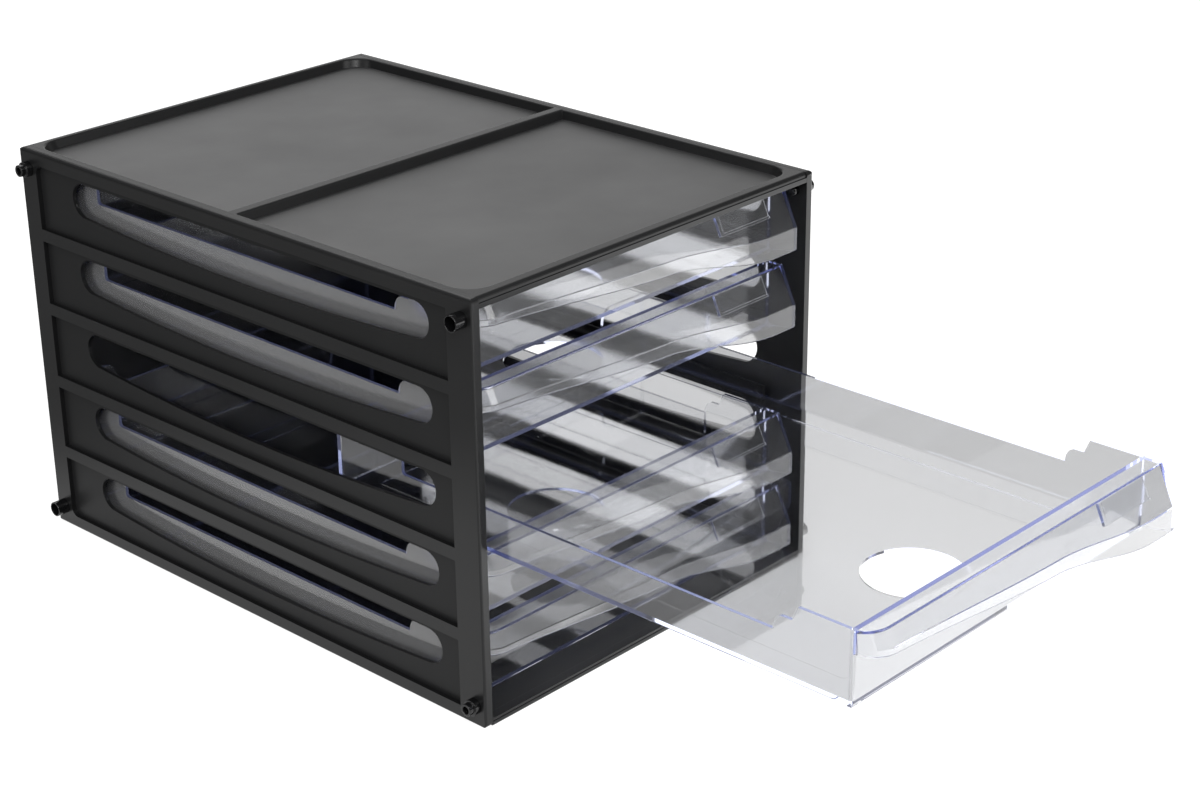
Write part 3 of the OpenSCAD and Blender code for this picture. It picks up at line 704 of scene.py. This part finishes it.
def insetPath(points, depth):
    # the path moved to its right-hand side, corners kept sharp
    steps = [(Vector(b) - Vector(a)).normalized() for a, b in zip(points, points[1:])]
    sides = [Vector((step.y, -step.x)) for step in steps]
    moved = [Vector(points[0]) + sides[0] * depth]
    for corner, before, after in zip(points[1:], sides, sides[1:]):
        moved.append(Vector(corner) + (before + after) * depth / (1 + before.dot(after)))
    return moved + [Vector(points[-1]) + sides[-1] * depth]


def pullSection(u, size):
    # the pull's outer and inner line at one place: forward distance against height
    wave = waveAt(u, size)
    low = size["low"] + (size["high"] - size["low"]) * wave
    lip = size["foldZ"] - size["low"] + (size["shortLip"] - size["foldZ"] + size["low"]) * wave
    top, zFold = drawer["height"], low + lip
    reach = size["strip"] + (top - zFold) * faceSlope
    fold, innerFold, rim = size["fold"], size["innerFold"], size["rim"]
    a, b, c, d = outer = [(-size["back"], top), (size["strip"], top), (reach, zFold), (reach, low)]
    e, f, g, h = insetPath(outer, drawer["wall"])
    outside = [a] + fillet(a, b, c, fold) + fillet(b, c, d, fold) + fillet(c, d, h, rim)
    inside = fillet(d, h, g, rim) + fillet(h, g, f, innerFold) + fillet(g, f, e, innerFold)
    return outside, inside + [tuple(e)]


def makePull(size):
    # a grid whose rows take the section's places, station by station, closed round and at both ends
    left, back = -drawerX + size["round"], size["back"]
    right = drawerX - drawer["wall"] / 2
    stations = [(left, turn) for turn in size["turns"]]
    for i in range(size["stations"] + 1):
        stations.append((left + (right - left) * i / size["stations"], 90))
    rows = []
    for x, turn in stations:
        across, reach = cos(radians(turn)), sin(radians(turn))
        outside = x - (size["round"] - size["inset"]) * across
        inside = x - (size["round"] - drawer["wall"]) * across
        row = []
        for line, place in zip(pullSection((outside + drawerX) / (2 * drawerX), size), (outside, inside)):
            row += [(place, back - (forward + back) * reach, z) for forward, z in line]
        rows.append(row + row[:1])
    count = len(rows[0])
    startPiece()
    bpy.ops.mesh.primitive_grid_add(x_subdivisions=len(rows) - 1, y_subdivisions=count - 1, size=1)
    sheet = bpy.context.object
    places = sorted(sheet.data.vertices, key=lambda v: (round(v.co.x, 5), round(v.co.y, 5)))
    for i, row in enumerate(rows):
        for j, point in enumerate(row):
            places[i * count + j].co = point
    settle(sheet, "pullSheet")
    selectOnly(sheet)
    bpy.ops.object.mode_set(mode="EDIT")
    bpy.ops.mesh.select_all(action="SELECT")
    bpy.ops.mesh.remove_doubles(threshold=weld / 2)
    bpy.ops.mesh.select_all(action="SELECT")
    bpy.ops.mesh.fill_holes(sides=0)
    bpy.ops.mesh.select_mode(type="FACE")
    bpy.ops.mesh.select_face_by_sides(number=4, type="GREATER", extend=False)
    bpy.ops.mesh.quads_convert_to_tris(quad_method="BEAUTY", ngon_method="BEAUTY")
    bpy.ops.mesh.select_all(action="SELECT")
    bpy.ops.mesh.normals_make_consistent(inside=False)
    bpy.ops.object.mode_set(mode="OBJECT")
    return sheet


def dipOutline(size):
    # what is cut from both sides above their low middle, with the step near the front
    top, low = size["height"], size["lowHeight"]
    flat, above = low + (top - low) * size["shelfHeight"], top + size["toolPast"]
    y1, length = size["frontRaise"], size["stepLength"]
    y2, y3, y4 = y1 + length * size["shelfFrom"], y1 + length * size["shelfTo"], y1 + length
    y5 = drawerLength - size["rearRaise"]
    r, small = size["dipRound"], size["stepRound"]
    turns = [radians(turn) for turn in range(0, 90, 10)]
    quarter = [(y3 + (y4 - y3) * sin(t), low + (flat - low) * cos(t)) for t in turns]
    return (
        fillet((0, top), (y1, top), (y2, flat), small) + fillet((y1, top), (y2, flat), (y3, flat), small)
        + quarter + [(y4, low)] + arc((y5 - r, low + r), r, 270, 360) + arc((y5 + r, top - r), r, 180, 90)
        + [(y5 + r, above), (y1 - mm, above)]
    )


def backDipOutline(size):
    top, low = size["height"], size["backLow"]
    x, above = drawerX - size["backCorner"], top + size["toolPast"]
    r = (top - low) / 2
    return (
        [(-x - r, above)] + arc((-x - r, top - r), r, 90, 0) + arc((-x + r, low + r), r, 180, 270)
        + arc((x - r, low + r), r, 270, 360) + arc((x + r, top - r), r, 180, 90) + [(x + r, above)]
    )


def roundUprights(block, radius, segments=5):
    # bevels a block's four upright edges
    selectOnly(block)
    bpy.ops.object.mode_set(mode="EDIT")
    bpy.ops.mesh.select_mode(type="EDGE")
    bpy.ops.mesh.select_all(action="DESELECT")
    bpy.ops.object.mode_set(mode="OBJECT")
    for edge in block.data.edges:
        a, b = (block.data.vertices[i].co for i in edge.vertices)
        edge.select = abs(a.x - b.x) < weld and abs(a.y - b.y) < weld
    bpy.ops.object.mode_set(mode="EDIT")
    bpy.ops.mesh.bevel(offset=radius, segments=segments, affect="EDGES")
    bpy.ops.object.mode_set(mode="OBJECT")
    return block


def makeTray(size):
    wall, floor, top = size["wall"], size["floor"], size["height"]
    tray = addBlock("tray", (-drawerX, 0, 0), (drawerX, drawerLength, top))
    roundUprights(tray, size["outerRound"])
    x, y = drawerX - wall, drawerLength - wall
    room = addBlock("room", (-x, wall, floor), (x, y, top + size["toolPast"]))
    shapeWith(tray, roundUprights(room, size["innerRound"]), "DIFFERENCE")
    border = size["border"]
    well = addBlock(
        "well", (border - x, wall + border, floor - size["borderDrop"]),
        (x - border, y - border, floor + mm),
    )
    shapeWith(tray, roundUprights(well, size["borderRound"]), "DIFFERENCE")
    sideDip = addPrism("sideDip", dipOutline(size), "x", -drawerX - mm, drawerX + mm)
    shapeWith(tray, sideDip, "DIFFERENCE")
    backDip = addPrism("backDip", backDipOutline(size), "y", y - wall, drawerLength + mm)
    shapeWith(tray, backDip, "DIFFERENCE")
    # the front wall ends inside the pull's top strip
    shapeWith(tray, addBlock("wallTop", (-x, -mm, top - mm), (x, wall + mm, top + mm)), "DIFFERENCE")
    startPiece()
    bpy.ops.mesh.primitive_cylinder_add(
        vertices=size["fingerSides"], radius=size["fingerHole"] / 2, depth=4 * floor,
        location=(0, size["fingerSet"], floor / 2),
    )
    shapeWith(tray, settle(bpy.context.object, "fingerTool"), "DIFFERENCE")
    softenEdges(tray, size["edge"])
    return tray


def makePullEnd(size):
    # a plate that closes the pull at its right end
    top, low, fold, small = drawer["height"], size["low"], size["fold"], size["endRound"]
    strip, depth, foldZ = size["strip"], size["depth"], size["foldZ"]
    outline = (
        [(-mm, small), (-mm, top - small)] + fillet((0, top), (strip, top), (depth, foldZ), fold)
        + fillet((strip, top), (depth, foldZ), (depth, low), fold)
        + fillet((depth, foldZ), (depth, low), (0, 0), fold)
    )
    outside = drawerX - size["inset"]
    plate = addPrism("pullEnd", [(-f, z) for f, z in outline], "x", outside - drawer["wall"], outside)
    softenEdges(plate, small)
    return plate


def makeDrawer(size):
    body = makeTray(size)
    shapeWith(body, makePull(pull), "UNION")
    shapeWith(body, makePullEnd(pull), "UNION")
    deep, inset = nibHeight, size["nibInset"]
    for x in (-drawerX, drawerX - size["nibWidth"]):
        x0, x1 = x + inset, x + size["nibWidth"] - inset
        outline = (
            [(x0, size["nibRoot"])] + arc((x0 + deep, 0), deep, 180, 270)
            + arc((x1 - deep, 0), deep, 270, 360) + [(x1, size["nibRoot"])]
        )
        nib = addPrism("nib", outline, "y", size["nibFront"], size["nibDepth"])
        shapeWith(body, nib, "UNION")
    finishSurface(body, size["smooth"])
    return body


drawerModel = makeDrawer(drawer)
print("drawer modelled,", len(drawerModel.data.polygons), "faces")

# Label holders: a thin pocket behind the sloped face, closed below and at one side
labelHolder = {
    "width": 44 * mm, "height": 12.5 * mm, "set": 18.5 * mm, "thick": 1.2 * mm, "slit": 0.8 * mm,
    "edge": 1.4 * mm, "end": 2.7 * mm, "down": 2 * mm, "gap": 0.1 * mm, "round": 0.3 * mm,
    "frostFrom": 0.2, "frostTo": 0.97,
}


def makeLabelHolder(size):
    wall = drawer["wall"]
    near, far = wall + size["gap"], wall + size["slit"] + size["thick"]
    low, width = -size["down"] - size["height"], size["width"]
    plate = addBlock("labelHolder", (0, wall + size["slit"], low), (width, far, -size["down"]))
    shapeWith(plate, addBlock("ledge", (0, near, low), (width, far, low + size["edge"])), "UNION")
    side = addBlock("stop", (0, near, low), (size["end"], far, -size["down"]))
    shapeWith(plate, side, "UNION")
    softenEdges(plate, size["round"])
    place = Vector((drawerX - size["set"] - width, -pull["strip"], drawer["height"]))
    plate.data.transform(Matrix.Translation(place) @ Matrix.Rotation(-atan(faceSlope), 4, "X"))
    finishSurface(plate)
    return plate


labelModel = makeLabelHolder(labelHolder)
slopeNormal = Vector((0, -1, faceSlope)).normalized()
for n in range(1, levels + 1):
    frontWall = drawerLow[n].y + pull["depth"]
    move = Vector((0, frontWall, drawerLow[n].z + nibHeight))
    drawerPiece = copyPiece(drawerModel, f"drawer{n}", move)
    dress(drawerPiece, clear, f"drawer_body_{n}", "clear_drawer", f"drawer_{n}")
    coatFaces(drawerPiece, brushed, lambda face: face.center.y < frontWall - mm)
    if n != openLevel:
        # the left wall's outer face, which shows through the casing's slot, gets a partly diffuse finish
        # that the right wall lacks, so that it renders paler: painted light
        slotLightFrom = frontWall + 2 * drawer["outerRound"]
        coatFaces(
            drawerPiece, slotLightHaze, lambda face: face.normal.x < -facing
            and face.center.x < touch - drawerX and face.center.y > slotLightFrom,
        )
    labelPiece = copyPiece(labelModel, f"labelHolder{n}", move)
    dress(labelPiece, clear, f"drawer_body_{n}", "clear_label_holder", f"label_holder_{n}")
    # the pocket's rounded edges get the milky finish so that they show as pale lines: painted highlights
    coatFaces(
        labelPiece, paleEdgeHighlight,
        lambda face: labelHolder["frostFrom"] < abs(face.normal.dot(slopeNormal)) < labelHolder["frostTo"],
    )
bpy.data.objects.remove(drawerModel)
bpy.data.objects.remove(labelModel)
print("drawers and label holders placed")


# Studio: pale floor, white surroundings and soft lamps; glows are for camera, mirrored and refracted rays
studio = {
    "floorSize": 40, "floor": (0.3, 0.3, 0.3, 1), "floorRough": 0.9, "floorGlow": (0.86, 0.76, 0.28),
    "across": (0.8, -0.6, 0), "darkFrom": -0.38, "paleFrom": -0.24, "darkShare": 0.02,
    "brightFrom": -0.05, "brightTo": 0.3, "brightShare": 3, "white": (1, 1, 1, 1),
    "world": 0.35, "background": (0.65, -0.2, -0.1),
}
lampAim = Vector((0, -0.1, 0.12))
lamps = [
    {"name": "keySoftbox", "place": (-1.2, -1.6, 2.2), "size": 1.6, "power": 40},
    {"name": "topSoftbox", "place": (0.6, 1.4, 2.4), "size": 2.0, "power": 30},
    {"name": "rightFill", "place": (2.3, -0.5, 0.6), "size": 1.2, "power": 1.5},
    {"name": "backSoftbox", "place": (1.65, 1.5, 1.1), "size": 2.0, "power": 10},
    {"name": "frontSoftbox", "place": (0.5, -1.9, 1.1), "size": 1.0, "power": 10},
    {"name": "leftFill", "place": (-1.7, 0.25, 0.4), "size": 0.8, "power": 9},
    {"name": "frontSpot", "place": (-1.35, -1.45, 1.25), "size": 0.35, "power": 8},
]


def glowForSight(tree, amounts, base=0, fall=None):
    # adds one amount each for camera, mirrored and refracted rays; fall takes the mirrored one's place
    path = tree.nodes.new("ShaderNodeLightPath")
    mirrored = tree.nodes.new("ShaderNodeMath")
    mirrored.operation = "SUBTRACT"  # a refracted ray counts as a glossy one too
    mirrored.use_clamp = True
    tree.links.new(path.outputs["Is Glossy Ray"], mirrored.inputs[0])
    tree.links.new(path.outputs["Is Transmission Ray"], mirrored.inputs[1])
    kinds = (path.outputs["Is Camera Ray"], mirrored.outputs["Value"], path.outputs["Is Transmission Ray"])
    total = None
    for kind, amount in zip(kinds, amounts):
        add = tree.nodes.new("ShaderNodeMath")
        add.operation = "MULTIPLY_ADD"
        tree.links.new(kind, add.inputs[0])
        add.inputs[1].default_value = amount
        if fall and kind == mirrored.outputs["Value"]:
            tree.links.new(fall, add.inputs[1])
        add.inputs[2].default_value = base
        if total:
            tree.links.new(total, add.inputs[2])
        total = add.outputs["Value"]
    return total


def addFall(tree, place, look):
    # in reflections the floor is dark at the left rear, pale near the casing and bright at the right front
    across = tree.nodes.new("ShaderNodeVectorMath")
    across.operation = "DOT_PRODUCT"
    across.inputs[1].default_value = look["across"]
    tree.links.new(place, across.inputs[0])
    glow, dark, bright = look["floorGlow"][1], look["darkShare"], look["brightShare"]
    total = None
    for start, end, low, high in (
        (look["darkFrom"], look["paleFrom"], glow * dark, glow),
        (look["brightFrom"], look["brightTo"], 0, glow * (bright - 1)),
    ):
        rise = tree.nodes.new("ShaderNodeMapRange")
        rise.interpolation_type = "SMOOTHSTEP"
        rise.inputs["From Min"].default_value = start
        rise.inputs["From Max"].default_value = end
        rise.inputs["To Min"].default_value = low
        rise.inputs["To Max"].default_value = high
        tree.links.new(across.outputs["Value"], rise.inputs["Value"])
        if total:
            both = tree.nodes.new("ShaderNodeMath")
            both.operation = "ADD"
            tree.links.new(total, both.inputs[0])
            tree.links.new(rise.outputs["Result"], both.inputs[1])
            total = both.outputs["Value"]
        else:
            total = rise.outputs["Result"]
    return total


def makeStudio(look):
    startPiece()
    bpy.ops.mesh.primitive_plane_add(size=look["floorSize"], location=(0, 0, 0))
    floor = settle(bpy.context.object, "floor")
    material, tree, shader, place = startMaterial("paleFloor")
    shader.inputs["Base Color"].default_value = look["floor"]
    shader.inputs["Roughness"].default_value = look["floorRough"]
    shader.inputs["Specular IOR Level"].default_value = 0
    shader.inputs["Emission Color"].default_value = look["white"]
    glow = glowForSight(tree, look["floorGlow"], fall=addFall(tree, place, look))
    tree.links.new(glow, shader.inputs["Emission Strength"])
    floor.data.materials.append(material)
    world = bpy.data.worlds.new("studio")
    bpy.context.scene.world = world
    world.use_nodes = True
    tree = world.node_tree
    tree.nodes["Background"].inputs["Color"].default_value = look["white"]
    strength = glowForSight(tree, look["background"], look["world"])
    tree.links.new(strength, tree.nodes["Background"].inputs["Strength"])


def addLamp(look):
    data = bpy.data.lights.new(look["name"], "AREA")
    data.size = look["size"]
    data.energy = look["power"]
    holder = bpy.data.objects.new(look["name"], data)
    bpy.context.scene.collection.objects.link(holder)
    holder.location = look["place"]
    holder.visible_camera = False
    aim = lampAim - Vector(look["place"])
    holder.rotation_euler = aim.to_track_quat("-Z", "Y").to_euler()


makeStudio(studio)
for look in lamps:
    addLamp(look)
bpy.context.scene.view_settings.view_transform = "Standard"
print("studio made")
